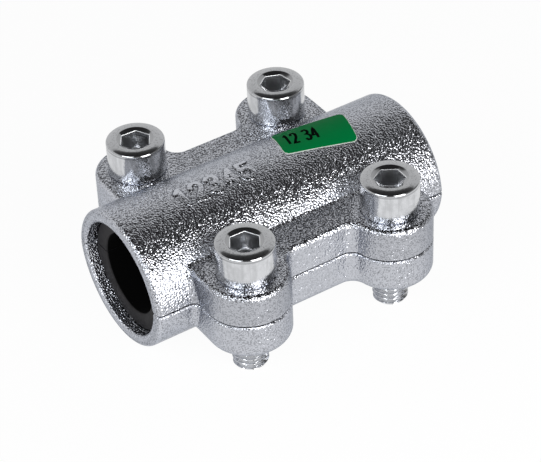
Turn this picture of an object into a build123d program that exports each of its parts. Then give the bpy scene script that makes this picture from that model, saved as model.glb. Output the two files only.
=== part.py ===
"""Two-part pipe repair clamp for a small plastic pipe.

Two cast half shells close round a rubber sleeve and are drawn together by four
socket head cap screws, which pass freely through the upper half and thread into
the lower one.  X runs along the pipe, Y across it and Z up.  The origin is the
centre of the pipe, halfway along the barrel, on the parting plane.
"""

from build123d import *
from math import radians, sqrt, tan
import os

os.makedirs("parts", exist_ok=True)

# Rubber sleeve, slit along one side so that it can be wrapped round a pipe, in millimetres
sleeve_bore_radius = 9.2
sleeve_wall = 4.8
sleeve_setback = 2.6
sleeve_lower_clearance = 0.05
sleeve_upper_clearance = 0.3
sleeve_slit = 0.6
sleeve_bore_chamfer = 0.5

# Barrel, the round part of each half; its arcs are centred a little off the parting plane
barrel_length = 74.0
shell_wall = 2.8
upper_arc_drop = 1.6
lower_arc_rise = 0.9
parting_gap = 0.3
end_edge_radius = 1.2
mouth_edge_radius = 0.6
parting_edge_chamfer = 0.3

# Socket head cap screws, metric size 8
screw_length = 25.0
screw_radius = 4.0
head_radius = 6.5
head_height = 8.0
head_edge_radius = 0.7
socket_flats = 6.0
socket_depth = 4.4
socket_mouth_radius = 3.7
socket_tip_angle = 120.0
screw_tip_chamfer = 0.9
shank_clearance = 0.5
thread_clearance = 0.05
hole_mouth_chamfer = 0.5

# How far each hexagon socket is turned, in degrees from X to a corner
front_left_turn = 57.7
rear_left_turn = 57.7
rear_right_turn = 37.7
front_right_turn = 27.7

# Bolting flanges, a round boss for each screw and a web between the bosses
bolt_pitch_x = 36.8
head_side_clearance = 1.7
boss_margin = 2.9
web_reach = 5.0
web_corner_radius = 3.0
upper_flange_thickness = 7.8
lower_flange_thickness = 8.6
upper_flange_edge_radius = 1.2
lower_flange_edge_radius = 2.2
barrel_root_radius = 1.6

# Adhesive size label, stuck askew on the crown of the upper barrel
label_centre_x = 14.8
label_lean = -5.0
label_turn = -14.0
label_length = 16.5
label_width = 10.4
label_thickness = 0.15
label_corner_radius = 1.5

# Heights and radii that follow from the sizes above
shell_inner_radius = sleeve_bore_radius + sleeve_wall
shell_outer_radius = shell_inner_radius + shell_wall
upper_face_z = parting_gap / 2
lower_face_z = -parting_gap / 2
ledge_z = upper_face_z + upper_flange_thickness
lower_ledge_z = lower_face_z - lower_flange_thickness
shell_end_x = barrel_length / 2
sleeve_end_x = shell_end_x - sleeve_setback
upper_hole_radius = screw_radius + shank_clearance
tapped_hole_radius = screw_radius + thread_clearance
boss_radius = head_radius + boss_margin
web_half_width = shell_outer_radius + web_reach
socket_slope = 1 / tan(radians(socket_tip_angle / 2))

# The screw heads stand just clear of the barrel's side where it rises from the ledge
barrel_half_width_at_ledge = sqrt(shell_outer_radius**2 - (ledge_z + upper_arc_drop) ** 2)
bolt_pitch_y = 2 * (barrel_half_width_at_ledge + head_side_clearance + head_radius)

screws = {
    "front_left_screw": (-bolt_pitch_x / 2, -bolt_pitch_y / 2, front_left_turn),
    "rear_left_screw": (-bolt_pitch_x / 2, bolt_pitch_y / 2, rear_left_turn),
    "rear_right_screw": (bolt_pitch_x / 2, bolt_pitch_y / 2, rear_right_turn),
    "front_right_screw": (bolt_pitch_x / 2, -bolt_pitch_y / 2, front_right_turn),
}

barrel_end = Plane.YZ.offset(-shell_end_x)


# Flange seen from above: two lobes across the barrel, joined by a narrower web
with BuildSketch() as flange_outline:
    with GridLocations(bolt_pitch_x, 0, 2, 1):
        SlotCenterToCenter(bolt_pitch_y, 2 * boss_radius, rotation=90)
    Rectangle(bolt_pitch_x, 2 * web_half_width)
    offset(amount=web_corner_radius)
    offset(amount=-web_corner_radius)


def half_casting(arc_centre_z, flange_reach, flange_edge_radius):
    """Barrel, flanges and bore of one half, drawn whole and still to be cut at the parting plane."""
    with BuildPart() as casting:
        extrude(flange_outline.sketch, amount=flange_reach, both=True)
        fillet(casting.faces().filter_by(Axis.Z).edges(), flange_edge_radius)
        with BuildSketch(barrel_end):
            with Locations((0, arc_centre_z)):
                Circle(shell_outer_radius)
        extrude(amount=barrel_length)
        fillet(casting.edges(Select.NEW), barrel_root_radius)
        barrel_ends = casting.faces().sort_by(Axis.X)
        fillet(barrel_ends[0].edges() + barrel_ends[-1].edges(), end_edge_radius)
        with BuildSketch(barrel_end):
            with Locations((0, arc_centre_z)):
                Circle(shell_inner_radius)
        extrude(amount=barrel_length, mode=Mode.SUBTRACT)
        mouths = casting.edges(Select.LAST).filter_by(GeomType.CIRCLE)
        fillet(mouths, mouth_edge_radius)
    return casting.part


# Upper half shell, with clearance holes for the screws
with BuildPart() as upper_shell:
    add(half_casting(-upper_arc_drop, ledge_z, upper_flange_edge_radius))
    split(bisect_by=Plane.XY.offset(upper_face_z), keep=Keep.TOP)
    parting_faces = upper_shell.faces().filter_by(Axis.Z).group_by(Axis.Z)[0]
    chamfer(parting_faces.edges(), parting_edge_chamfer)
    with Locations(Plane.XY.offset(ledge_z)):
        with GridLocations(bolt_pitch_x, bolt_pitch_y, 2, 2):
            Hole(upper_hole_radius)
upper_shell.part.label = "upper_shell"
export_step(upper_shell.part, "parts/upper_shell.step")

# Lower half shell, with tapped holes that end in a small countersink at both faces
with BuildPart() as lower_shell:
    add(half_casting(lower_arc_rise, -lower_ledge_z, lower_flange_edge_radius))
    split(bisect_by=Plane.XY.offset(lower_face_z), keep=Keep.BOTTOM)
    parting_faces = lower_shell.faces().filter_by(Axis.Z).group_by(Axis.Z)[-1]
    chamfer(parting_faces.edges(), parting_edge_chamfer)
    with Locations(Plane.XY.offset(lower_face_z)):
        with GridLocations(bolt_pitch_x, bolt_pitch_y, 2, 2):
            Hole(tapped_hole_radius)
    hole_rims = lower_shell.edges(Select.LAST).filter_by(GeomType.CIRCLE)
    chamfer(hole_rims, hole_mouth_chamfer)
lower_shell.part.label = "lower_shell"
export_step(lower_shell.part, "parts/lower_shell.step")

# Rubber sleeve, filling both halves round the pipe, with its slit along the rear parting line
with BuildPart() as sleeve:
    with BuildSketch(Plane.YZ.offset(-sleeve_end_x)):
        with Locations((0, lower_arc_rise)):
            Circle(shell_inner_radius - sleeve_lower_clearance)
        with Locations((0, -upper_arc_drop)):
            Circle(shell_inner_radius - sleeve_upper_clearance, mode=Mode.INTERSECT)
        Circle(sleeve_bore_radius, mode=Mode.SUBTRACT)
        Rectangle(
            shell_inner_radius, sleeve_slit, align=(Align.MIN, Align.CENTER), mode=Mode.SUBTRACT
        )
    extrude(amount=2 * sleeve_end_x)
    bore_rims = sleeve.edges().filter_by(GeomType.CIRCLE).filter_by(
        lambda edge: edge.radius == sleeve_bore_radius
    )
    chamfer(bore_rims, sleeve_bore_chamfer)
sleeve.part.label = "sleeve"
export_step(sleeve.part, "parts/sleeve.step")

# Socket head cap screws, whose heads bear on the ledge of the upper half
for name, (screw_x, screw_y, socket_turn) in screws.items():
    centre = (screw_x, screw_y, ledge_z)
    lengthwise = Plane(centre, x_dir=(1, 0, 0), z_dir=(0, -1, 0))
    head_top = Plane(centre).offset(head_height)
    with BuildPart() as screw:
        with BuildSketch(lengthwise):
            with BuildLine():
                Polyline(
                    (0, -screw_length),
                    (screw_radius, -screw_length),
                    (screw_radius, 0),
                    (head_radius, 0),
                    (head_radius, head_height),
                    (0, head_height),
                    close=True,
                )
            make_face()
        revolve(axis=Axis(centre, (0, 0, 1)))
        rims = screw.edges().filter_by(GeomType.CIRCLE).sort_by(Axis.Z)
        chamfer(rims[0], screw_tip_chamfer)
        fillet(rims[-1], head_edge_radius)
        with BuildSketch(head_top):
            RegularPolygon(socket_flats / 2, 6, major_radius=False, rotation=socket_turn)
        extrude(amount=-socket_depth, mode=Mode.SUBTRACT)
        with BuildSketch(lengthwise):
            with BuildLine():
                Polyline(
                    (0, head_height),
                    (socket_mouth_radius, head_height),
                    (0, head_height - socket_mouth_radius * socket_slope),
                    close=True,
                )
            make_face()
            with BuildLine():
                Polyline(
                    (0, head_height - socket_depth),
                    (socket_flats / 2, head_height - socket_depth),
                    (0, head_height - socket_depth - socket_flats / 2 * socket_slope),
                    close=True,
                )
            make_face()
        revolve(axis=Axis(centre, (0, 0, 1)), mode=Mode.SUBTRACT)
    screw.part.label = name
    export_step(screw.part, f"parts/{name}.step")

# Adhesive size label, bent round the crown of the upper barrel
label_face = Plane((label_centre_x, 0, -upper_arc_drop)).rotated((label_lean, 0, 0))
with BuildPart() as size_label:
    with BuildSketch(barrel_end):
        with Locations((0, -upper_arc_drop)):
            Circle(shell_outer_radius + label_thickness)
            Circle(shell_outer_radius, mode=Mode.SUBTRACT)
    extrude(amount=barrel_length)
    with BuildSketch(label_face):
        RectangleRounded(label_length, label_width, label_corner_radius, rotation=label_turn)
    extrude(amount=shell_outer_radius + 2 * label_thickness, mode=Mode.INTERSECT)
size_label.part.label = "size_label"
export_step(size_label.part, "parts/size_label.step")
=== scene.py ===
"""Looks of a two-part pipe repair clamp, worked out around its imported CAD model.

The two cast halves keep their CAD shape and get a rough zinc-plated finish.  The
screws, the rubber sleeve, the size label and the raised numerals are surfaces of
their own.  X runs along the pipe, Y across it and Z up, in metres.
"""

from math import asin, cos, pi, radians, sin, tan

import bpy
import numpy as np
from bpy.props import FloatProperty, FloatVectorProperty, PointerProperty, StringProperty
from mathutils import Matrix, Vector


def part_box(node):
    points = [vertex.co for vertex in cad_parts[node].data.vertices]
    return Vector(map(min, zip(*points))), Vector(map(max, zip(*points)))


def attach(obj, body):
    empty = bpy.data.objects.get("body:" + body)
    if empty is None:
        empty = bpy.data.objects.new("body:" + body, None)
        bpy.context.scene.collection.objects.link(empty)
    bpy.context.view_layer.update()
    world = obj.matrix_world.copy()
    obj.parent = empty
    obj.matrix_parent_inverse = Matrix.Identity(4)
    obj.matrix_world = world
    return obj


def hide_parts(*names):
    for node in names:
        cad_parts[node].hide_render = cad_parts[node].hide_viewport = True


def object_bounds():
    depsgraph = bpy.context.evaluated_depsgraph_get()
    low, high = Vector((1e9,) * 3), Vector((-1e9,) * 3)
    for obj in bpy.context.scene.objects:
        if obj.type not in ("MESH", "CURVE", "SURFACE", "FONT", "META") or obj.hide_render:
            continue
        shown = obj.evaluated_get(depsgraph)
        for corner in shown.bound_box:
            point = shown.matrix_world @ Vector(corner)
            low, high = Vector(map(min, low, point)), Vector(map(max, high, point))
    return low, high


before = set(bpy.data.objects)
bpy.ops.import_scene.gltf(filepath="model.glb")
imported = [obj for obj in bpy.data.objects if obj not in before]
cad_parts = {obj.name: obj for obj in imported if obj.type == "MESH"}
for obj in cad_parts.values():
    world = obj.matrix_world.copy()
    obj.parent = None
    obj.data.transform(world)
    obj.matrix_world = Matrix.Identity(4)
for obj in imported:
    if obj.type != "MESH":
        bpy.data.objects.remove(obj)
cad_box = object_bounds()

bl_info = {
    "name": "Pipe repair clamp",
    "version": (1, 0, 0),
    "blender": (4, 5, 0),
    "location": "3D View > Sidebar > Clamp",
    "description": "Finishes, screws, sleeve and label of a two-part cast pipe repair clamp",
    "category": "Object",
}

MM = 0.001


def mm(*lengths):
    """Lengths in metres, given in millimetres."""
    return tuple(length * MM for length in lengths)


UPPER_BODY = "upper_half"
LOWER_BODY = "lower_half"
CASTINGS = ("upper_shell", "lower_shell")
SCREWS = ("front_left_screw", "rear_left_screw", "rear_right_screw", "front_right_screw")
SCREW_PLACE = sum(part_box(SCREWS[0]), Vector()) / 2

# Figures as pen strokes in a box one high, written from the left on the line y = 0
STROKES = {
    "1": [[(0.10, 0.78), (0.30, 1.0), (0.30, 0.0)]],
    "2": [[(0.02, 0.74), (0.06, 0.90), (0.18, 0.99), (0.34, 0.99), (0.48, 0.88), (0.50, 0.70),
           (0.40, 0.48), (0.0, 0.0), (0.54, 0.0)]],
    "3": [[(0.02, 0.84), (0.12, 0.97), (0.32, 1.0), (0.48, 0.88), (0.48, 0.68), (0.34, 0.55),
           (0.20, 0.53), (0.36, 0.50), (0.51, 0.36), (0.51, 0.14), (0.36, 0.01), (0.14, 0.01),
           (0.0, 0.16)]],
    "4": [[(0.40, 0.0), (0.40, 1.0), (0.0, 0.30), (0.56, 0.30)]],
    "5": [[(0.50, 1.0), (0.08, 1.0), (0.04, 0.56), (0.24, 0.63), (0.42, 0.57), (0.52, 0.38),
           (0.49, 0.13), (0.32, 0.0), (0.12, 0.01), (0.0, 0.14)]],
}
FIGURE_STEP = 0.78
SPACE_STEP = 0.45

# The screws' shanks; half a crest's flat, a flank and the runout are shares of a pitch
TIP_RADIUS = 3.1 * MM
HALF_CREST = 1 / 16
FLANK = 5 / 16
RUNOUT = 1.5

# The screws' heads: the bevel of the foot, the steps round the rim and across the crown,
# and the small bevel where the crown meets the countersink
HEAD_BEVEL = 0.25 * MM
RIM_RINGS = 12
CROWN_RINGS = 13
MOUTH_RING = 0.05 * MM
MOUTH_BEVEL = 0.02 * MM

# The sockets: the turn of the rounded edges, then rings as shares of the walls' height,
# and the cone at the foot, with its half angle and rings as shares of the walls' radius
EDGE_TURN = radians(60)
EDGE_RINGS = 5
WALL_RINGS = (0.66, 0.33)
DRILL_ANGLE = radians(60)
DRILL_REACH = 0.97
DRILL_RINGS = (0.95, 0.6, 0.2)

# Rings of a label's layer, as shares of the way from its middle to its edge
LAYER_TOP_RINGS = np.linspace(0.06, 0.96, 14)
LAYER_INSET = 0.985
LAYER_FOOT_RINGS = np.linspace(0.9, 0.1, 6)
LAYER_BEVEL = 0.02 * MM
INK_LIFT = 0.012 * MM

# The relief's grid, and how deep its foot lies in the barrel
RELIEF_STEP = 0.1 * MM
RELIEF_ROOT = 0.04 * MM

# Bounds of the castings' masks, which are 0 at the first and 1 at the second: along the
# pipe from its middle, across it from its axis, up from the parting plane, out from a
# screw's axis (seat) or the pipe's (hollow), and over the barrel (lift)
LEDGE_ACROSS = mm(14.2, 16.0)
LEDGE_UP = mm(7.6, 7.9)
SEAT_RADIUS = mm(9.2, 8.2)
BRINK_ACROSS = mm(15.0, 16.0)
BRINK_FOOT_UP = mm(7.66, 7.74)
BRINK_TOP_UP = mm(7.945, 7.92)
SIDE_ACROSS = mm(15.6, 17.0)
FRONT_ACROSS = mm(0.0, -1.0)
END_ALONG = mm(36.6, 36.95)
WEB_ALONG = mm(11.0, 8.0)
BOSS_UP = mm(0.0, 1.0)
HOLLOW_RADIUS = mm(14.7, 14.3)
SEAM_UP = mm(0.60, 0.40)
FLANK_LIFT = mm(-0.02, 0.03)
FACE_LIFT = mm(0.20, 0.27)

# Bounds of the screws' masks: down from the head's top
HEAD_DOWN = mm(8.2, 7.8)
CROWN_DOWN = mm(0.9, 0.5)
BAND_FOOT_DOWN = mm(1.35, 1.15)
BAND_TOP_DOWN = mm(0.78, 0.90)
SOCKET_DOWN = mm(7.2, 6.9)
# and out from the radius of the socket's mouth, down from the hexagon's edge (sink), from
# the foot of that edge's rounding (lip) and from the foot of the walls
MOUTH_BOUNDS = mm(0.02, -0.08)
SINK_BOUNDS = mm(0.0, -0.05)
LIP_BOUNDS = mm(0.08, 0.0)
DRILLED_BOUNDS = mm(0.02, 0.10)
WALL_FOOT_BOUNDS = mm(-0.26, -0.20)

# Bounds of the sleeve's bore, out from its radius, where painted shade darkens it
BORE_LIFT = mm(0.10, 0.02)

# Levels of a noise at which what it draws begins, and is full
PIT_LEVELS = (0.49, 0.37)
RAGGED_LEVELS = (0.56, 0.42)
FLASH_LEVELS = (0.60, 0.45)
CLOUD_LEVELS = (0.60, 0.35)
SPECK_LEVELS = (0.50, 0.30)
STREAK_LEVELS = (0.42, 0.70)
BLOOM_LEVELS = (0.35, 0.75)

# Shades of the castings' zinc, as factors of its colour: the skin's random tone, then painted shade
# in the pits, on the numerals' flanks, on the flanges' sides and ends and along the brink, and
# painted light on the numerals' faces and in the hollow
SKIN_SHADES = (1.02, 1.18)
PIT_PAINTED_SHADE = 0.10
FACE_PAINTED_LIGHT = 1.30
FLANK_PAINTED_SHADE = 0.10
SIDE_AND_END_PAINTED_SHADE = 0.20
HOLLOW_PAINTED_LIGHT = 1.45
BRINK_PAINTED_SHADE = 0.12

# Shades of the screws' zinc: on the head's side, on its crown and in its socket.  The band under
# the rim and the countersink are painted dark reflections, the socket's walls and drilled foot
# painted shade, and its edges painted highlights
CLOUD_SHADE = 0.85
STREAK_SHADE = 0.55
BAND_PAINTED_REFLECTION = 0.35
CROWN_SHADE = 0.80
SPECK_SHADE = 0.58
WALL_PAINTED_SHADE = 0.98
SINK_PAINTED_REFLECTION = 0.60
EDGE_PAINTED_HIGHLIGHT = 1.40
DRILLED_PAINTED_SHADE = 0.30

# Shades of the rubber and of the label's films; the bore's is painted shade
BLOOM_SHADE = 1.9
BORE_PAINTED_SHADE = 0.05
WAVE_SHADE = 0.85

# The floor: how white the camera sees it, the rest being matt with the clamp's shadow,
# and how white metal mirrors it, with the gain and the bounds of its paler front
WHITE = (1.0, 1.0, 1.0, 1.0)
FLOOR_COLOUR = (0.9, 0.9, 0.9, 1.0)
FLOOR_REACH = 1.5
FLOOR_SEEN = 0.95
FLOOR_MIRRORED = 0.66
FLOOR_FRONT_GAIN = 0.11
FLOOR_FRONT = mm(5.0, -45.0)

# The lamps: place, width, height, power and colour
LAMPS = {
    "key": ((0.022, -0.338, 0.142), 0.20, 0.29, 1.22, (1.0, 0.99, 0.98)),
    "fill": ((-0.50, -0.20, 0.40), 0.42, 0.36, 2.0, (0.94, 0.97, 1.0)),
}

# The surroundings: stops of brightness from level to straight up, behind the clamp and
# before it, and the bounds, back along Y, between which the first takes over
BEHIND = ((0.0, 0.76), (0.25, 0.76), (0.45, 0.74), (0.60, 0.68), (0.72, 0.62), (0.78, 0.10),
          (0.86, 0.05), (1.0, 0.03))
BEFORE = ((0.0, 0.50), (0.15, 0.24), (0.30, 0.19), (0.60, 0.17), (0.72, 0.07), (1.0, 0.03))
BEHIND_BOUNDS = (-0.25, 0.20)

# The camera: the photograph's width in pixels, and the lens
PHOTO_WIDTH = 541
SENSOR_WIDTH = 36.0
CLIP_START = 0.01
CLIP_END = 10.0


# ---------------------------------------------------------------- properties


def length_prop(name, description, millimetres):
    """A length that a user can change, with its default in millimetres."""
    return FloatProperty(name=name, description=description, default=millimetres * MM,
                         unit="LENGTH", precision=6)


def angle_prop(name, description, degrees):
    """An angle that a user can change, with its default in degrees."""
    return FloatProperty(name=name, description=description, default=radians(degrees),
                         unit="ROTATION")


def colour_prop(name, description, *channels):
    """A colour that a user can change."""
    return FloatVectorProperty(name=name, description=description, default=channels,
                               subtype="COLOR", size=3, min=0.0, max=1.0)


class ClampScrewSizes(bpy.types.PropertyGroup):
    """Sizes of the four socket head cap screws."""

    thread_pitch: length_prop("Thread pitch", "Axial step of one turn of the thread", 1.25)
    thread_depth: length_prop(
        "Thread depth", "Radial height of the thread from root to crest", 0.70)
    crest_radius: length_prop("Crest radius", "Outside radius of the thread", 3.95)
    head_height: length_prop("Head height", "Height of the head above the ledge", 8.0)
    rim_radius: length_prop(
        "Rim radius", "Radius of the rounding between the head's top and side", 0.50)
    inner_slope: angle_prop("Inner slope", "Slope of the head's top at the socket's mouth", 0.5)
    outer_slope: angle_prop("Outer slope", "Slope of the head's top where its rim begins", 20.0)
    crown_power: FloatProperty(
        name="Crown power", description="How late the head's top turns down to its rim",
        default=1.6)
    socket_flats: length_prop(
        "Socket flats", "Width of the hexagon socket across its flats", 6.0)
    socket_depth: length_prop(
        "Socket depth", "Depth of the foot of the hexagon socket's walls", 4.8)
    socket_mouth: length_prop("Socket mouth", "Radius of the countersink round the socket", 4.15)
    mouth_depth: length_prop(
        "Mouth depth", "Depth of the hexagon's edge below the head's top", 0.42)
    socket_edge: length_prop("Socket edge", "Radius of the edges round the socket's walls", 0.13)
    socket_turns: FloatVectorProperty(
        name="Socket turns", size=4, unit="ROTATION",
        description="Angle from X to a corner of each socket, front left first",
        default=tuple(map(radians, (57.7, 57.7, 37.7, 27.7))))


class ClampSleeveSizes(bpy.types.PropertyGroup):
    """Sizes of the rubber sleeve, whose outside follows both castings."""

    bore_radius: length_prop("Bore radius", "Radius of the sleeve's bore", 9.2)
    lower_radius: length_prop("Lower radius", "Outside radius in the lower casting", 13.95)
    lower_rise: length_prop("Lower rise", "Height of the lower arc's centre", 0.9)
    upper_radius: length_prop("Upper radius", "Outside radius in the upper casting", 13.7)
    upper_drop: length_prop(
        "Upper drop", "Depth of the upper arc's centre below the parting plane", 1.6)
    slit: length_prop("Slit", "Width at the bore of the slit along the rear side", 0.2)
    edge: length_prop("Edge", "Radius of the sleeve's moulded edges", 0.45)


class ClampLabelSizes(bpy.types.PropertyGroup):
    """Sizes and number of the adhesive size label on the crown of the barrel."""

    barrel_radius: length_prop(
        "Barrel radius", "Outside radius of the upper casting's barrel", 16.8)
    centre_x: length_prop("Centre", "Place of the label's middle along the pipe", 14.8)
    lean: angle_prop("Lean", "How far the label's middle lies behind the crown", 5.0)
    turn: angle_prop("Turn", "How far the label is turned on the barrel", -14.0)
    length: length_prop("Length", "Length of the label", 17.2)
    width: length_prop("Width", "Width of the label", 10.6)
    corner: length_prop("Corner", "Radius of the label's corners", 1.5)
    thickness: length_prop("Thickness", "Thickness of the printed film on its backing", 0.15)
    backing_edge: length_prop(
        "Backing edge", "How far the pale backing shows round the film", 0.14)
    number: StringProperty(
        name="Number", description="Plain number printed on the label", default="12 34")
    number_height: length_prop("Number height", "Height of the printed figures", 4.4)
    number_length: length_prop("Number length", "Length of the printed number", 7.6)
    number_x: length_prop(
        "Number's place", "Place of the number's left end from the label's middle", -6.8)
    pen: length_prop("Pen width", "Width of the printed figures' strokes", 0.62)


class ClampReliefSizes(bpy.types.PropertyGroup):
    """Sizes of the numerals that are cast in relief on the barrel."""

    number: StringProperty(
        name="Number", description="Plain number in relief on the barrel", default="12345")
    start_x: length_prop("Start", "Place of the first figure along the pipe", -22.0)
    length: length_prop("Length", "Length of the row of figures", 18.6)
    height: length_prop("Height", "Height of the figures round the barrel", 5.0)
    pen: length_prop("Pen width", "Width of the strokes at half their height", 1.30)
    slope: length_prop("Slope", "Width of the sloping sides of the strokes", 0.55)
    rise: length_prop("Rise", "How far the figures stand out of the barrel", 0.32)
    middle: angle_prop(
        "Middle", "Angle of the figures' middle from the front of the barrel", 86.0)


class ClampFinishes(bpy.types.PropertyGroup):
    """Colours and grain of the finishes."""

    cast_zinc: colour_prop("Cast zinc", "Colour of the plated castings", 0.585, 0.60, 0.645)
    screw_zinc: colour_prop("Screw zinc", "Colour of the bright plated screws", 0.69, 0.70, 0.72)
    rubber: colour_prop("Rubber", "Colour of the sleeve", 0.019, 0.018, 0.019)
    label_green: colour_prop("Label green", "Colour of the label's film", 0.0, 0.168, 0.042)
    label_backing: colour_prop("Label backing", "Colour of the label's backing", 0.62, 0.66, 0.62)
    ink: colour_prop("Ink", "Colour of the printed number", 0.003, 0.005, 0.004)
    grain: length_prop("Grain", "Size of the bumps of the cast skin", 0.43)
    grain_height: length_prop("Grain height", "Height of the bumps of the cast skin", 0.118)


class ClampStage(bpy.types.PropertyGroup):
    """Place and lens of the camera."""

    azimuth: angle_prop("Azimuth", "Camera's angle round Z from straight in front", -31.91)
    elevation: angle_prop("Elevation", "Camera's angle above the floor", 38.321)
    roll: angle_prop("Roll", "Camera's turn about its own axis", -2.549)
    distance: length_prop("Distance", "Camera's distance from its aim", 498.067)
    aim: FloatVectorProperty(
        name="Aim", description="Point in the middle of the picture", size=3,
        default=mm(1.701, 0.04, -5.206), unit="LENGTH", precision=6)
    focal_pixels: FloatProperty(
        name="Focal length in pixels", description="Focal length over the size of a pixel",
        default=2248.6)


# ------------------------------------------------------------------- meshes


def grid_faces(rows, columns, closed=False):
    """Quads between neighbouring points of a grid that is numbered row by row.

    Where it is closed, the last column joins the first one.
    """
    row = np.arange(rows - 1)[:, None] * columns
    column = np.arange(columns if closed else columns - 1)
    beside, above = (column + 1) % columns, row + columns
    corners = (row + column, row + beside, above + beside, above + column)
    return np.stack(corners, axis=-1).reshape(-1, 4)


def fan(ring, centre):
    """Triangles from each step of a ring of vertex numbers to a centre vertex."""
    return np.stack([ring, np.roll(ring, -1), np.full_like(ring, centre)], axis=-1)


def mesh_object(name, vertices, faces, sharp_angle=radians(32)):
    """An object at the origin with smooth faces, creased where they meet at more than an angle."""
    mesh = bpy.data.meshes.new(name)
    mesh.from_pydata(vertices, [], faces)
    mesh.validate()
    mesh.shade_smooth()
    mesh.set_sharp_from_angle(angle=sharp_angle)
    piece = bpy.data.objects.new(name, mesh)
    bpy.context.scene.collection.objects.link(piece)
    return piece


def dress(piece, finish, body):
    """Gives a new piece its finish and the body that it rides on."""
    piece.data.materials.append(finish)
    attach(piece, body)


# ------------------------------------------------------------ shader maths


class Field:
    """A value that varies over a surface; arithmetic on it adds Math nodes."""

    def __init__(self, shader, socket):
        self.shader, self.socket = shader, socket

    def maths(self, operation, *values):
        """The result of a Math node's operation on values."""
        return self.shader.node("ShaderNodeMath", {"operation": operation}, dict(enumerate(values)))

    def __add__(self, other):
        return self.maths("ADD", self, other)

    def __sub__(self, other):
        return self.maths("SUBTRACT", self, other)

    def __rsub__(self, other):
        return self.maths("SUBTRACT", other, self)

    def __mul__(self, other):
        return self.maths("MULTIPLY", self, other)

    __radd__ = __add__
    __rmul__ = __mul__

    def __abs__(self):
        return self.maths("ABSOLUTE", self)

    def root(self):
        """The square root."""
        return self.maths("SQRT", self)

    def or_more(self, other):
        """The greater of this value and another."""
        return self.maths("MAXIMUM", self, other)

    def ramp(self, bounds, start=0.0):
        """A smooth step from 0 at the first bound to 1 at the second, both counted from a start."""
        low, high = (start + bound for bound in bounds)
        settings = {"interpolation_type": "SMOOTHSTEP"}
        sockets = {"Value": self, "From Min": low, "From Max": high}
        if high < low:
            sockets.update({"From Min": high, "From Max": low, "To Min": 1.0, "To Max": 0.0})
        return self.shader.node("ShaderNodeMapRange", settings, sockets)

    def square_ramp(self, bounds, start=0.0):
        """The ramp of a squared distance between the squares of the bounds."""
        return self.ramp([(start + bound) ** 2 for bound in bounds])


class Shader:
    """A node tree; node() is the only place that adds a node to it."""

    def __init__(self, tree):
        self.tree = tree
        tree.nodes.clear()

    @staticmethod
    def pick(sockets, key):
        """A socket by its number, identifier or name."""
        if isinstance(key, int):
            return sockets[key]
        return next((s for s in sockets if s.identifier == key), None) or sockets[key]

    def node(self, kind, settings=None, sockets=None, output=0):
        """Adds a node with its settings, then its sockets' values or links; gives one output."""
        node = self.tree.nodes.new(kind)
        for name, value in (settings or {}).items():
            if name == "stops":
                elements = node.color_ramp.elements
                elements.remove(elements[-1])
                for place, level in value[1:]:
                    elements.new(place).color = (level, level, level, 1.0)
                elements[0].position, elements[0].color = value[0][0], (*[value[0][1]] * 3, 1.0)
            else:
                setattr(node, name, value)
        for key, value in (sockets or {}).items():
            socket = self.pick(node.inputs, key)
            if isinstance(value, Field):
                self.tree.links.new(value.socket, socket)
            else:
                socket.default_value = value
        outputs = node.outputs
        return Field(self, self.pick(outputs, output)) if len(outputs) else None

    def place(self):
        """The point of the surface in the object's own coordinates."""
        return self.node("ShaderNodeTexCoord", output="Object")

    def axes(self, vector):
        """A vector's X, Y and Z as three fields."""
        split = self.node("ShaderNodeSeparateXYZ", sockets={0: vector}).socket.node
        return [Field(self, socket) for socket in split.outputs]

    def rays(self, kind):
        """1 for the rays of a kind, such as Camera or Glossy, and 0 for the others."""
        return self.node("ShaderNodeLightPath", output=f"Is {kind} Ray")

    def stops(self, value, stops):
        """A level read from stops of place and level at a value."""
        return self.node("ShaderNodeValToRGB", {"stops": stops}, {0: value})

    def stretched(self, vector, scale):
        """A vector with each axis scaled by a number, so that a pattern on it is drawn out."""
        sockets = {0: vector, 1: scale}
        return self.node("ShaderNodeVectorMath", {"operation": "MULTIPLY"}, sockets)

    def noise(self, vector, size, detail=2.0, roughness=0.5):
        """Noise from 0 to 1 whose patches are about that size."""
        sockets = {"Vector": vector, "Scale": 1.0 / size, "Detail": detail, "Roughness": roughness}
        return self.node("ShaderNodeTexNoise", sockets=sockets)

    def pebbles(self, vector, size):
        """Distance to the middle of rounded cells of about that size."""
        sockets = {"Vector": vector, "Scale": 1.0 / size, "Smoothness": 0.6}
        return self.node("ShaderNodeTexVoronoi", {"feature": "SMOOTH_F1"}, sockets, "Distance")

    def blend(self, share, first, second):
        """A mix of two colours, where a share of 1 is the second."""
        sockets = {"Factor_Float": share, "A_Color": first, "B_Color": second}
        return self.node("ShaderNodeMix", {"data_type": "RGBA"}, sockets, "Result_Color")

    def layered(self, colour, base, *layers):
        """A colour with layers over it, each a share and the factor of a base colour's shade."""
        for share, factor in layers:
            colour = self.blend(share, colour, shade(base, factor))
        return colour

    def bump(self, height, distance):
        """The surface's normal, tilted by a height field."""
        return self.node("ShaderNodeBump", sockets={"Height": height, "Distance": distance})

    def surface(self, **sockets):
        """Ends the tree in a Principled BSDF with these sockets."""
        named = {name.replace("_", " "): value for name, value in sockets.items()}
        shader = self.node("ShaderNodeBsdfPrincipled", sockets=named)
        self.node("ShaderNodeOutputMaterial", sockets={"Surface": shader})


def new_finish(name):
    """A material and the shader that fills its node tree."""
    material = bpy.data.materials.new(name)
    material.use_nodes = True
    return material, Shader(material.node_tree)


def shade(colour, factor=1.0):
    """A colour made darker or lighter by a factor, with full alpha."""
    return (*(channel * factor for channel in colour), 1.0)


# ----------------------------------------------------------------- finishes


def square_to_screw(along, across):
    """Squared distance to the axis of the nearest screw."""
    off_x, off_y = abs(along) - abs(SCREW_PLACE.x), abs(across) - abs(SCREW_PLACE.y)
    return off_x * off_x + off_y * off_y


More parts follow.
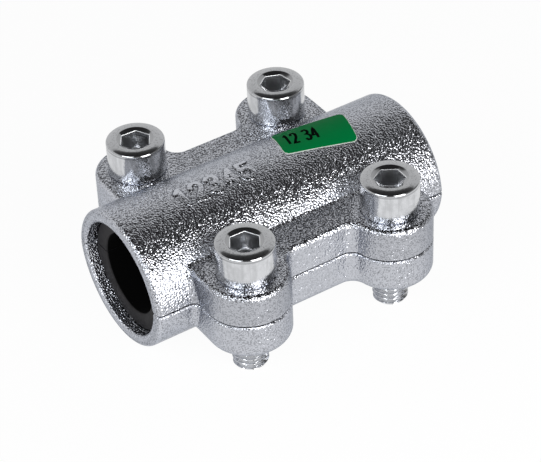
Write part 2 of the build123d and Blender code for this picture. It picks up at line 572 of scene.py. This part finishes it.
def cast_zinc(name, finishes, drop=0.0, barrel=None):
    """Bright plating over a pebbly cast skin.

    The height is a sum of rounded cells and two noises, and the pits between the bumps
    are painted dark as shade.  The ledges are coarser, except for the seats round the
    screw heads, and a ragged line of painted shade runs along their brink, where the
    edge begins to round.  The flanges' sides are calmer, with less painted pit shade,
    their front and the ends are greyer with painted shade, and the hollow is coarse and
    pale with painted light; the seam is dull in places.  For the numerals, barrel is the
    radius that they stand on and drop is its centre's depth; their faces are smooth and
    pale with painted light, their flanks dark and ragged with painted shade.
    """
    material, shader = new_finish(name)
    place = shader.place()
    along, across, up = shader.axes(place)

    ledge = abs(across).ramp(LEDGE_ACROSS) * up.ramp(LEDGE_UP)
    seat = ledge * square_to_screw(along, across).square_ramp(SEAT_RADIUS)
    # A ragged line of painted shade where the ledge's edge begins to round
    brink = abs(across).ramp(BRINK_ACROSS) * up.ramp(BRINK_FOOT_UP) * up.ramp(BRINK_TOP_UP)
    side = abs(across).ramp(SIDE_ACROSS) * (1.0 - ledge)
    front = across.ramp(FRONT_ACROSS)
    end = abs(along).ramp(END_ALONG)
    web = abs(along).ramp(WEB_ALONG)
    boss = (1.0 - web) * up.ramp(BOSS_UP)
    # The hollow gets coarser grain and painted light
    hollow = (across * across + up * up).square_ramp(HOLLOW_RADIUS)
    seam = abs(up).ramp(SEAM_UP)
    face, flank = 0.0, 0.0
    if barrel:
        reach = across * across + (up + drop) * (up + drop)
        # The numerals' faces get painted light and their flanks painted shade
        face = reach.square_ramp(FACE_LIFT, barrel)
        flank = reach.square_ramp(FLANK_LIFT, barrel) * (1.0 - face)

    pebbles = shader.pebbles(place, finishes.grain)
    ripple = shader.noise(place, finishes.grain * 0.75, detail=0.0)
    swell = shader.noise(place, size=3.0 * MM)
    patches = shader.noise(place, size=6.0 * MM, detail=3.0)
    flash = shader.noise(place, size=2.2 * MM).ramp(FLASH_LEVELS)
    ragged = ripple.ramp(RAGGED_LEVELS)
    coarseness = ledge * 0.3 - seat * 0.5 + hollow * 0.8 - face * 0.45 + 1.0
    height = (ripple - pebbles) * coarseness + swell * 0.5

    # calm eases the painted pit shade on the flanges' sides, most on the web's front
    calm = side * (0.12 + front * (0.06 + web * 0.22))
    # Painted shade over the flanges' front, more on the bosses' upper flanks, and over the end
    # faces
    grey = side * front * (0.13 + boss * 0.16) + end * 0.22
    # Painted shade in the grain's low points, more on the ledges, less on the numerals' faces
    pits = ripple.ramp(PIT_LEVELS) * (ledge * 0.25 - calm - face * 0.45 + 0.60)
    zinc = finishes.cast_zinc
    skin = shader.blend(patches, *(shade(zinc, factor) for factor in SKIN_SHADES))
    # Layers over the skin's random tone: painted shade in the pits, painted light and shade on the
    # numerals, painted shade on sides and ends, painted light in the hollow, painted shade along
    # the brink
    layers = [(pits, PIT_PAINTED_SHADE)]
    if barrel:
        layers += [(face * 0.5, FACE_PAINTED_LIGHT), (flank * (0.45 + ragged * 0.45), FLANK_PAINTED_SHADE)]
    layers += [(grey, SIDE_AND_END_PAINTED_SHADE), (hollow * 0.3, HOLLOW_PAINTED_LIGHT),
               (brink * (0.15 + ragged * 0.60), BRINK_PAINTED_SHADE)]
    shader.surface(
        Base_Color=shader.layered(skin, zinc, *layers),
        Metallic=1.0,
        Roughness=0.05 + patches * 0.05 + seam * flash * 0.4,
        Specular_Tint=(0.60, 0.62, 0.66, 1.0),
        Normal=shader.bump(height, finishes.grain_height),
    )
    return material


def screw_zinc(finishes, sizes, top):
    """Bright plating with faint clouds and specks.

    The head's side is streaked, with a painted dark reflection as a band under its rim,
    and its top is duller.  In the socket, which is painted a little darker as shade, the
    countersink is polished and painted darker as a dark reflection, the edges above and
    below the walls carry painted highlights, the walls are satin and the drilled foot is
    painted dark as shade.
    """
    material, shader = new_finish("screw_zinc")
    place = shader.place()
    along, across, up = shader.axes(place)

    down = top - up
    head = down.ramp(HEAD_DOWN)
    crown = down.ramp(CROWN_DOWN)
    # A band under the rim, painted dark as a reflection
    band = down.ramp(BAND_FOOT_DOWN) * down.ramp(BAND_TOP_DOWN)
    radius = square_to_screw(along, across).root()
    # The whole socket is painted a little darker as shade
    inside = radius.ramp(MOUTH_BOUNDS, sizes.socket_mouth) * down.ramp(SOCKET_DOWN)
    # The countersink is painted darker as a dark reflection
    sink = inside * down.ramp(SINK_BOUNDS, sizes.mouth_depth)
    wall = inside - sink
    # The lip and the walls' foot get painted highlights
    lip = wall * down.ramp(LIP_BOUNDS, sizes.mouth_depth + sizes.socket_edge)
    # The drilled foot is painted dark as shade
    drilled = inside * down.ramp(DRILLED_BOUNDS, sizes.socket_depth)
    wall_foot = inside * down.ramp(WALL_FOOT_BOUNDS, sizes.socket_depth) * (1.0 - drilled)
    head_side = head * (1.0 - crown) * (1.0 - inside)

    streaks = shader.noise(shader.stretched(place, (1.0, 1.0, 0.18)), size=1.1 * MM)
    clouds = shader.noise(place, size=2.5 * MM, detail=4.0, roughness=0.6)
    specks = shader.noise(place, size=0.40 * MM, roughness=0.6)
    smoothed = (1.0 - crown * 0.6) * (1.0 - inside * 0.7)

    zinc = finishes.screw_zinc
    plating = shader.layered(
        shade(zinc), zinc, (clouds.ramp(CLOUD_LEVELS), CLOUD_SHADE),
        (streaks.ramp(STREAK_LEVELS) * head * 0.32, STREAK_SHADE), (band * 0.55, BAND_PAINTED_REFLECTION))
    dull = shader.layered(
        shade(zinc, CROWN_SHADE), zinc, (specks.ramp(SPECK_LEVELS), SPECK_SHADE))
    shader.surface(
        Base_Color=shader.layered(
            shader.blend(crown, plating, dull), zinc, (inside, WALL_PAINTED_SHADE), (sink, SINK_PAINTED_REFLECTION),
            (lip + wall_foot, EDGE_PAINTED_HIGHLIGHT), (drilled, DRILLED_PAINTED_SHADE)),
        Metallic=1.0,
        Roughness=clouds * 0.05 + wall * 0.22 + head_side * 0.07 + 0.05,
        Normal=shader.bump((clouds * 3.0 + specks * 0.8) * smoothed, distance=0.02 * MM),
    )
    return material


def black_rubber(finishes, bore_radius):
    """Satin moulded rubber with a faint dusty bloom; the bore is matt and painted deep black as
    shade.
    """
    material, shader = new_finish("black_rubber")
    place = shader.place()
    _, across, up = shader.axes(place)
    # Deep in the bore the rubber is painted near black as shade
    bore = (across * across + up * up).square_ramp(BORE_LIFT, bore_radius)
    bloom = shader.noise(place, size=4.0 * MM, detail=4.0, roughness=0.65)
    skin = shader.noise(place, size=0.25 * MM)
    rubber = finishes.rubber
    shader.surface(
        Base_Color=shader.layered(
            shade(rubber), rubber, (bloom.ramp(BLOOM_LEVELS), BLOOM_SHADE), (bore, BORE_PAINTED_SHADE)),
        Roughness=0.42 + bloom * 0.22 + bore * 0.3,
        Specular_IOR_Level=0.08,
        Normal=shader.bump(skin + bloom * 2.0, distance=0.02 * MM),
    )
    return material


def printed_film(name, colour, roughness, gloss=0.5):
    """Printed film that follows the rough casting a little."""
    material, shader = new_finish(name)
    place = shader.place()
    waves = shader.noise(place, size=2.2 * MM, detail=3.0)
    grain = shader.noise(place, size=0.6 * MM)
    shader.surface(
        Base_Color=shader.layered(shade(colour), colour, (waves * 0.5, WAVE_SHADE)),
        Roughness=roughness + grain * 0.08,
        Specular_IOR_Level=gloss,
        Normal=shader.bump(waves * 1.4 + grain * 0.6, distance=0.03 * MM),
    )
    return material


# ------------------------------------------------------------------ screws


def screw_surface(low, high, turn, sizes, columns=96, steps_per_pitch=12):
    """Points of a socket head cap screw, as rows of rings from the tip to the socket's bottom.

    The thread's radius at a height and angle is that of a 60 degree profile at the
    axial distance from the nearest crest, and the crests climb one pitch a turn.
    Across the head's top the slope grows from the inner to the outer one as a power of
    the share of the way out, and a circular rim follows.  The socket's radius at an angle
    is that of a hexagon.  Its mouth runs from a circle down to the hexagon's edge, small
    arcs round the edges above and below its walls, and a drilled cone ends it.
    """
    centre = (low + high) / 2
    angle = turn + np.arange(columns) * 2 * pi / columns
    flat = 0 * angle
    ledge, head_radius = high.z - sizes.head_height, (high.x - low.x) / 2

    count = int((ledge - low.z) / sizes.thread_pitch * steps_per_pitch)
    height = np.linspace(low.z, ledge, count)[:, None] + flat
    phase = (height / sizes.thread_pitch - angle / (2 * pi)) % 1.0
    depth = np.clip((abs(phase - 0.5) - HALF_CREST) / FLANK, 0, 1)
    runout = np.clip((ledge - height) / (RUNOUT * sizes.thread_pitch), 0, 1)
    radius = sizes.crest_radius - sizes.thread_depth * depth * runout
    radius = np.minimum(radius, TIP_RADIUS + (height - low.z))

    rim, mouth_radius = sizes.rim_radius, sizes.socket_mouth
    first, last = tan(sizes.inner_slope), tan(sizes.outer_slope)
    reach = head_radius - rim + rim * sin(sizes.outer_slope) - mouth_radius
    share, power = np.linspace(1, 0, CROWN_RINGS), sizes.crown_power
    dome = high.z - reach * (first * share + (last - first) * share**(power + 1) / (power + 1))
    arc = np.linspace(pi / 2, sizes.outer_slope, RIM_RINGS)
    rim_radii = head_radius - rim + rim * np.sin(arc)
    rim_heights = dome[0] - rim * cos(sizes.outer_slope) + rim * np.cos(arc)
    rings = [(sizes.crest_radius, ledge), (head_radius - HEAD_BEVEL, ledge),
             (head_radius, ledge + HEAD_BEVEL), (head_radius, (ledge + high.z) / 2)]
    rings += zip(rim_radii, rim_heights)
    rings += zip(mouth_radius + reach * share[1:-1], dome[1:-1])
    rings += [(mouth_radius + MOUTH_RING, high.z), (mouth_radius, high.z - MOUTH_BEVEL)]

    sector = (angle - turn) % (pi / 3) - pi / 6
    inner, edge = sizes.socket_flats / 2, sizes.socket_edge
    hexagon = inner / np.cos(sector)
    mouth, floor = high.z - sizes.mouth_depth, high.z - sizes.socket_depth
    bend = np.linspace(EDGE_TURN, 0, EDGE_RINGS)
    rings += [(hexagon + edge * (1 - cos(b)), mouth - edge * (1 - sin(b))) for b in bend]
    rings += [(hexagon, floor + part * (mouth - floor)) for part in WALL_RINGS]
    rings += [(hexagon - edge * (1 - cos(b)), floor + edge * (1 - sin(b))) for b in bend[::-1]]
    rings += [(inner * part, floor - inner * (DRILL_REACH - part) / tan(DRILL_ANGLE))
              for part in DRILL_RINGS]

    radius = np.vstack([radius, *(ring[0] + flat for ring in rings)])
    height = np.vstack([height, *(ring[1] + flat for ring in rings)])
    return np.stack(
        [centre.x + radius * np.cos(angle), centre.y + radius * np.sin(angle), height], axis=-1)


def closed_lathe(name, points):
    """A closed piece from rows of rings, with a fan over the first and the last ring."""
    rows, columns = points.shape[:2]
    first, last = points[0].mean(axis=0), points[-1].mean(axis=0)
    vertices = np.vstack([points.reshape(-1, 3), first, last])
    ring = np.arange(columns)
    bottom = fan(ring, rows * columns)[:, ::-1]
    top = fan(ring + (rows - 1) * columns, rows * columns + 1)
    faces = grid_faces(rows, columns, closed=True).tolist() + bottom.tolist() + top.tolist()
    return mesh_object(name, vertices, faces, sharp_angle=radians(25))


# ------------------------------------------------------------------ sleeve


def sleeve_surface(low, high, sizes, turns=220, corner_steps=5):
    """Points of the slit sleeve, as a rounded rectangular section carried round the pipe.

    At an angle round the pipe the section reaches from the bore to the nearer of two
    arcs, each of which is the distance to a circle whose centre lies off the axis.
    Its corners are quarter circles, and each lies at one end and on the bore or the outside.
    """
    start = asin(sizes.slit / 2 / sizes.bore_radius)
    angle = np.linspace(start, 2 * pi - start, turns)

    def reach(radius, rise):
        return rise * np.sin(angle) + np.sqrt(radius**2 - (rise * np.cos(angle)) ** 2)

    outer = np.minimum(reach(sizes.lower_radius, sizes.lower_rise),
                       reach(sizes.upper_radius, -sizes.upper_drop))
    quarters = np.arange(4)[:, None] * pi / 2
    bend = (quarters + np.linspace(0, pi / 2, corner_steps)).ravel()
    end = np.repeat([1, -1, -1, 1], corner_steps)
    outside = np.repeat([1, 1, -1, -1], corner_steps)
    along = (low.x + high.x) / 2 + end * ((high.x - low.x) / 2 - sizes.edge)
    along = along + sizes.edge * np.cos(bend)
    inset = sizes.edge * (np.sin(bend) - outside)
    radius = np.where(outside[:, None] > 0, outer, sizes.bore_radius) + inset[:, None]
    points = [along[:, None] + 0 * radius, radius * np.cos(angle), radius * np.sin(angle)]
    return np.stack(points, axis=-1).transpose(1, 0, 2)


def closed_sweep(name, points):
    """A closed piece from a closed section carried along a path, with flat ends."""
    rows, columns = points.shape[:2]
    faces = grid_faces(rows, columns, closed=True).tolist()
    ring = np.arange(columns)
    faces += [ring[::-1].tolist(), (ring + (rows - 1) * columns).tolist()]
    return mesh_object(name, points.reshape(-1, 3), faces)


# ------------------------------------------------------- label and numerals


def on_barrel(x, offset, lift, radius, lean, drop):
    """A point over the barrel from its place along the pipe, its offset across it and its lift.

    The offset is measured square to a ray that leans back from straight up, and the
    point stands on that offset at the barrel's radius plus the lift.
    """
    stand = np.sqrt((radius + lift) ** 2 - offset**2)
    y = offset * cos(lean) + stand * sin(lean)
    z = stand * cos(lean) - offset * sin(lean) - drop
    return np.stack([x, y, z], axis=-1)


def on_label(length, width, lift, sizes, drop):
    """A point over the label from its place along and across it, turned as the label is."""
    x = sizes.centre_x + length * cos(sizes.turn) - width * sin(sizes.turn)
    offset = length * sin(sizes.turn) + width * cos(sizes.turn)
    return on_barrel(x, offset, lift, sizes.barrel_radius, sizes.lean, drop)


def rounded_edge(angle, half_length, half_width, corner, least=1e-12):
    """Distance from the middle of a rounded rectangle to its edge at an angle.

    It is the least distance to a side's line, or where the ray passes a corner, the
    far root of the ray's meeting with the corner's circle.  A least run and climb
    keeps the distance to a side that the ray never meets finite.
    """
    run, climb = abs(np.cos(angle)) + least, abs(np.sin(angle)) + least
    side = np.minimum(half_length / run, half_width / climb)
    inner_length, inner_width = half_length - corner, half_width - corner
    towards = run * inner_length + climb * inner_width
    under = towards**2 - inner_length**2 - inner_width**2 + corner**2
    in_corner = (side * run > inner_length) & (side * climb > inner_width)
    return np.where(in_corner, towards + np.sqrt(np.maximum(under, 0)), side)


def label_layer(name, sizes, drop, margin, bottom, top, columns=240):
    """A thin curved plate with rounded corners, from rings that shrink towards its middle."""
    angle = np.arange(columns) * 2 * pi / columns
    edge = rounded_edge(angle, sizes.length / 2 - margin, sizes.width / 2 - margin,
                        sizes.corner - margin)
    rings = [(share, top) for share in (*LAYER_TOP_RINGS, LAYER_INSET)]
    rings += [(1.0, top - LAYER_BEVEL)]
    rings += [(share, bottom) for share in (1.0, LAYER_INSET, *LAYER_FOOT_RINGS)]
    share, lift = np.array(rings[::-1]).T[..., None]
    reach = share * edge
    points = on_label(reach * np.cos(angle), reach * np.sin(angle), lift, sizes, drop)
    return closed_lathe(name, points)


def written(text, length, height):
    """The pen strokes of a number, in a box of that length and height from the origin."""
    strokes, pen_x = [], 0.0
    for figure in text:
        strokes += [np.array(stroke) + (pen_x, 0.0) for stroke in STROKES.get(figure, [])]
        pen_x += FIGURE_STEP if figure in STROKES else SPACE_STEP
    reach = max(stroke[:, 0].max() for stroke in strokes)
    return [stroke * (length / reach, height) for stroke in strokes]


def pen_distance(points, strokes):
    """Least distance from each point of a grid to any step of the strokes."""
    least = np.full(points.shape[:-1], np.inf)
    for stroke in strokes:
        for start, end in zip(stroke[:-1], stroke[1:]):
            run = end - start
            share = np.clip((points - start) @ run / (run @ run), 0, 1)
            gap = points - start - share[..., None] * run
            least = np.minimum(least, np.hypot(gap[..., 0], gap[..., 1]))
    return least


def ribbon(stroke, width, pieces=6, sharpest_miter=0.6):
    """Left and right edges of a flat stroke, mitred where it bends, as rows of two points.

    At a bend the edges lie aside along the mean of both steps' normals, at half the
    width over the cosine of half the bend, which isn't taken below the sharpest miter.
    """
    share = np.linspace(0, 1, pieces, endpoint=False)[:, None]
    steps = [a + share * (b - a) for a, b in zip(stroke[:-1], stroke[1:])]
    path = np.vstack([*steps, stroke[-1:]])
    run = np.diff(path, axis=0)
    run /= np.linalg.norm(run, axis=1)[:, None]
    before, after = np.vstack([run[:1], run]), np.vstack([run, run[-1:]])
    mean = before + after
    mean /= np.linalg.norm(mean, axis=1)[:, None]
    miter = width / 2 / np.maximum((mean * before).sum(axis=1), sharpest_miter)
    aside = np.stack([-mean[:, 1], mean[:, 0]], axis=-1) * miter[:, None]
    return np.stack([path + aside, path - aside], axis=1)


# ---------------------------------------------------------------- operators


class CLAMP_OT_castings(bpy.types.Operator):
    """Gives both cast halves their rough plated finish"""

    bl_idname = "clamp.castings"
    bl_label = "Castings"

    def execute(self, context):
        finish = cast_zinc("cast_zinc", context.scene.clamp_finishes)
        for name in CASTINGS:
            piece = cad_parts[name]
            piece.data.materials.clear()
            piece.data.materials.append(finish)
        return {"FINISHED"}


class CLAMP_OT_screws(bpy.types.Operator):
    """Makes the four socket head cap screws with their threads and hexagon sockets"""

    bl_idname = "clamp.screws"
    bl_label = "Screws"

    def execute(self, context):
        sizes = context.scene.clamp_screw
        finish = screw_zinc(context.scene.clamp_finishes, sizes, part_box(SCREWS[0])[1].z)
        for name, turn in zip(SCREWS, sizes.socket_turns):
            low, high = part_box(name)
            piece = closed_lathe(name + "_look", screw_surface(low, high, turn, sizes))
            dress(piece, finish, name)
            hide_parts(name)
        return {"FINISHED"}


class CLAMP_OT_sleeve(bpy.types.Operator):
    """Makes the slit rubber sleeve"""

    bl_idname = "clamp.sleeve"
    bl_label = "Sleeve"

    def execute(self, context):
        sizes = context.scene.clamp_sleeve
        low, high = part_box("sleeve")
        piece = closed_sweep("sleeve_look", sleeve_surface(low, high, sizes))
        finish = black_rubber(context.scene.clamp_finishes, sizes.bore_radius)
        dress(piece, finish, LOWER_BODY)
        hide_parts("sleeve")
        return {"FINISHED"}


class CLAMP_OT_label(bpy.types.Operator):
    """Makes the size label: its pale backing, green film and printed number"""

    bl_idname = "clamp.label"
    bl_label = "Label"

    def execute(self, context):
        sizes, finishes = context.scene.clamp_label, context.scene.clamp_finishes
        drop = context.scene.clamp_sleeve.upper_drop
        half = sizes.thickness / 2

        backing = label_layer("label_backing", sizes, drop, 0.0, 0.0, half)
        finish = printed_film("label_backing", finishes.label_backing, roughness=0.45)
        dress(backing, finish, UPPER_BODY)

        film = label_layer("label_film", sizes, drop, sizes.backing_edge, half, sizes.thickness)
        finish = printed_film("label_film", finishes.label_green, roughness=0.30, gloss=0.02)
        dress(film, finish, UPPER_BODY)
        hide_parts("size_label")

        vertices, faces, count = [], [], 0
        for stroke in written(sizes.number, sizes.number_length, sizes.number_height):
            edges = ribbon(stroke, sizes.pen)
            length, width = edges[..., 0] + sizes.number_x, edges[..., 1] - sizes.number_height / 2
            points = on_label(length, width, sizes.thickness + INK_LIFT, sizes, drop)
            vertices.append(points.reshape(-1, 3))
            faces.append(grid_faces(*edges.shape[:2]) + count)
            count += len(vertices[-1])
        number = mesh_object("label_number", np.vstack(vertices), np.vstack(faces))
        finish = printed_film("label_ink", finishes.ink, roughness=0.45, gloss=0.0)
        dress(number, finish, UPPER_BODY)
        return {"FINISHED"}


class CLAMP_OT_relief(bpy.types.Operator):
    """Makes the numerals cast in relief on the barrel"""

    bl_idname = "clamp.relief"
    bl_label = "Relief numerals"

    def execute(self, context):
        """Lifts a grid over the barrel by a smooth step of the distance to the pen's strokes."""
        sizes, label = context.scene.clamp_relief, context.scene.clamp_label
        drop = context.scene.clamp_sleeve.upper_drop
        strokes = written(sizes.number, sizes.length, sizes.height)
        margin = sizes.pen / 2 + sizes.slope
        along = np.arange(-margin, sizes.length + margin, RELIEF_STEP)
        across = np.arange(-margin, sizes.height + margin, RELIEF_STEP)
        points = np.stack(np.meshgrid(along, across), axis=-1)
        slope = (sizes.pen / 2 - pen_distance(points, strokes)) / sizes.slope + 0.5
        slope = np.clip(slope, 0, 1)
        lift = sizes.rise * slope**2 * (3 - 2 * slope) - RELIEF_ROOT
        points = on_barrel(points[..., 0] + sizes.start_x, points[..., 1] - sizes.height / 2,
                           lift, label.barrel_radius, sizes.middle - pi / 2, drop)
        piece = mesh_object("relief_numerals", points.reshape(-1, 3), grid_faces(*points.shape[:2]))
        finish = cast_zinc("numeral_zinc", context.scene.clamp_finishes, drop, label.barrel_radius)
        dress(piece, finish, UPPER_BODY)
        return {"FINISHED"}


class CLAMP_OT_stage(bpy.types.Operator):
    """Sets up the floor, the soft lamps, the white surroundings and the camera"""

    bl_idname = "clamp.stage"
    bl_label = "Stage"

    def execute(self, context):
        scene = context.scene
        scene.view_settings.view_transform = "Standard"
        self.make_floor(cad_box[0][2])
        self.make_world(scene)
        for name, lamp in LAMPS.items():
            self.make_lamp(name, *lamp)
        self.make_camera(scene, scene.clamp_stage)
        return {"FINISHED"}

    def make_floor(self, height):
        """A matt floor, which the camera sees nearly white and metal mirrors as pale grey."""
        corners = [(-FLOOR_REACH, -FLOOR_REACH, height), (FLOOR_REACH, -FLOOR_REACH, height),
                   (FLOOR_REACH, FLOOR_REACH, height), (-FLOOR_REACH, FLOOR_REACH, height)]
        floor = mesh_object("floor", corners, [(0, 1, 2, 3)])
        material, shader = new_finish("floor")
        _, across, _ = shader.axes(shader.place())
        mirrored = shader.rays("Glossy").or_more(shader.rays("Transmission"))
        mirrored = mirrored * (FLOOR_MIRRORED + across.ramp(FLOOR_FRONT) * FLOOR_FRONT_GAIN)
        seen = (shader.rays("Camera") * FLOOR_SEEN).or_more(mirrored)
        matt = shader.node("ShaderNodeBsdfDiffuse", sockets={"Color": FLOOR_COLOUR})
        white = shader.node("ShaderNodeEmission", sockets={"Color": WHITE, "Strength": 1.0})
        mixed = shader.node("ShaderNodeMixShader", sockets={0: seen, 1: matt, 2: white})
        shader.node("ShaderNodeOutputMaterial", sockets={"Surface": mixed})
        floor.data.materials.append(material)

    def make_world(self, scene):
        """Surroundings that are white to the camera and graded for light and reflections."""
        world = bpy.data.worlds.new("surroundings")
        world.use_nodes = True
        scene.world = world
        shader = Shader(world.node_tree)
        _, back, up = shader.axes(shader.node("ShaderNodeTexCoord", output="Generated"))
        share = back.ramp(BEHIND_BOUNDS)
        level = shader.stops(up, BEHIND) * share + shader.stops(up, BEFORE) * (1.0 - share)
        level = shader.rays("Camera").or_more(level)
        glow = shader.node("ShaderNodeBackground", sockets={"Color": WHITE, "Strength": level})
        shader.node("ShaderNodeOutputWorld", sockets={"Surface": glow})

    def make_lamp(self, name, place, width, height, power, colour):
        """A soft box at a place, turned to the object."""
        lamp = bpy.data.lights.new(name, "AREA")
        lamp.shape, lamp.size, lamp.size_y = "RECTANGLE", width, height
        lamp.energy, lamp.color = power, colour
        piece = bpy.data.objects.new(name, lamp)
        bpy.context.scene.collection.objects.link(piece)
        piece.location = place
        piece.rotation_euler = (-Vector(place)).to_track_quat("-Z", "Y").to_euler()

    def make_camera(self, scene, stage):
        """A camera on the line from its aim at an azimuth and elevation, then rolled."""
        azimuth, elevation, roll = stage.azimuth, stage.elevation, stage.roll
        run = cos(elevation)
        back = Vector((sin(azimuth) * run, -cos(azimuth) * run, sin(elevation)))
        right = Vector((cos(azimuth), sin(azimuth), 0.0))
        up = back.cross(right)
        rolled_right = right * cos(roll) + up * sin(roll)
        rolled_up = up * cos(roll) - right * sin(roll)
        lens = bpy.data.cameras.new("camera")
        lens.sensor_width = SENSOR_WIDTH
        lens.lens = stage.focal_pixels / PHOTO_WIDTH * SENSOR_WIDTH
        lens.clip_start, lens.clip_end = CLIP_START, CLIP_END
        camera = bpy.data.objects.new("camera", lens)
        scene.collection.objects.link(camera)
        turn = Matrix((rolled_right, rolled_up, back)).transposed().to_4x4()
        camera.matrix_world = Matrix.Translation(Vector(stage.aim) + back * stage.distance) @ turn
        scene.camera = camera


class CLAMP_PT_panel(bpy.types.Panel):
    """Lists the clamp's operators and sizes in the sidebar"""

    bl_idname = "CLAMP_PT_panel"
    bl_label = "Pipe repair clamp"
    bl_space_type = "VIEW_3D"
    bl_region_type = "UI"
    bl_category = "Clamp"

    def draw(self, context):
        layout = self.layout
        for operator in OPERATORS:
            layout.operator(operator.bl_idname)
        for name in GROUPS:
            group = getattr(context.scene, name)
            box = layout.box()
            for field in group.bl_rna.properties:
                if field.identifier not in ("rna_type", "name"):
                    box.prop(group, field.identifier)


OPERATORS = (CLAMP_OT_castings, CLAMP_OT_screws, CLAMP_OT_sleeve, CLAMP_OT_label,
             CLAMP_OT_relief, CLAMP_OT_stage)
GROUPS = {
    "clamp_screw": ClampScrewSizes,
    "clamp_sleeve": ClampSleeveSizes,
    "clamp_label": ClampLabelSizes,
    "clamp_relief": ClampReliefSizes,
    "clamp_finishes": ClampFinishes,
    "clamp_stage": ClampStage,
}


def register():
    for kind in (*GROUPS.values(), *OPERATORS, CLAMP_PT_panel):
        bpy.utils.register_class(kind)
    for name, group in GROUPS.items():
        setattr(bpy.types.Scene, name, PointerProperty(type=group))


def unregister():
    for name in GROUPS:
        delattr(bpy.types.Scene, name)
    for kind in reversed((*GROUPS.values(), *OPERATORS, CLAMP_PT_panel)):
        bpy.utils.unregister_class(kind)


def main():
    """Makes every piece in order."""
    register()
    bpy.ops.clamp.stage()
    bpy.ops.clamp.castings()
    bpy.ops.clamp.screws()
    bpy.ops.clamp.sleeve()
    bpy.ops.clamp.label()
    bpy.ops.clamp.relief()


if __name__ == "__main__":
    main()
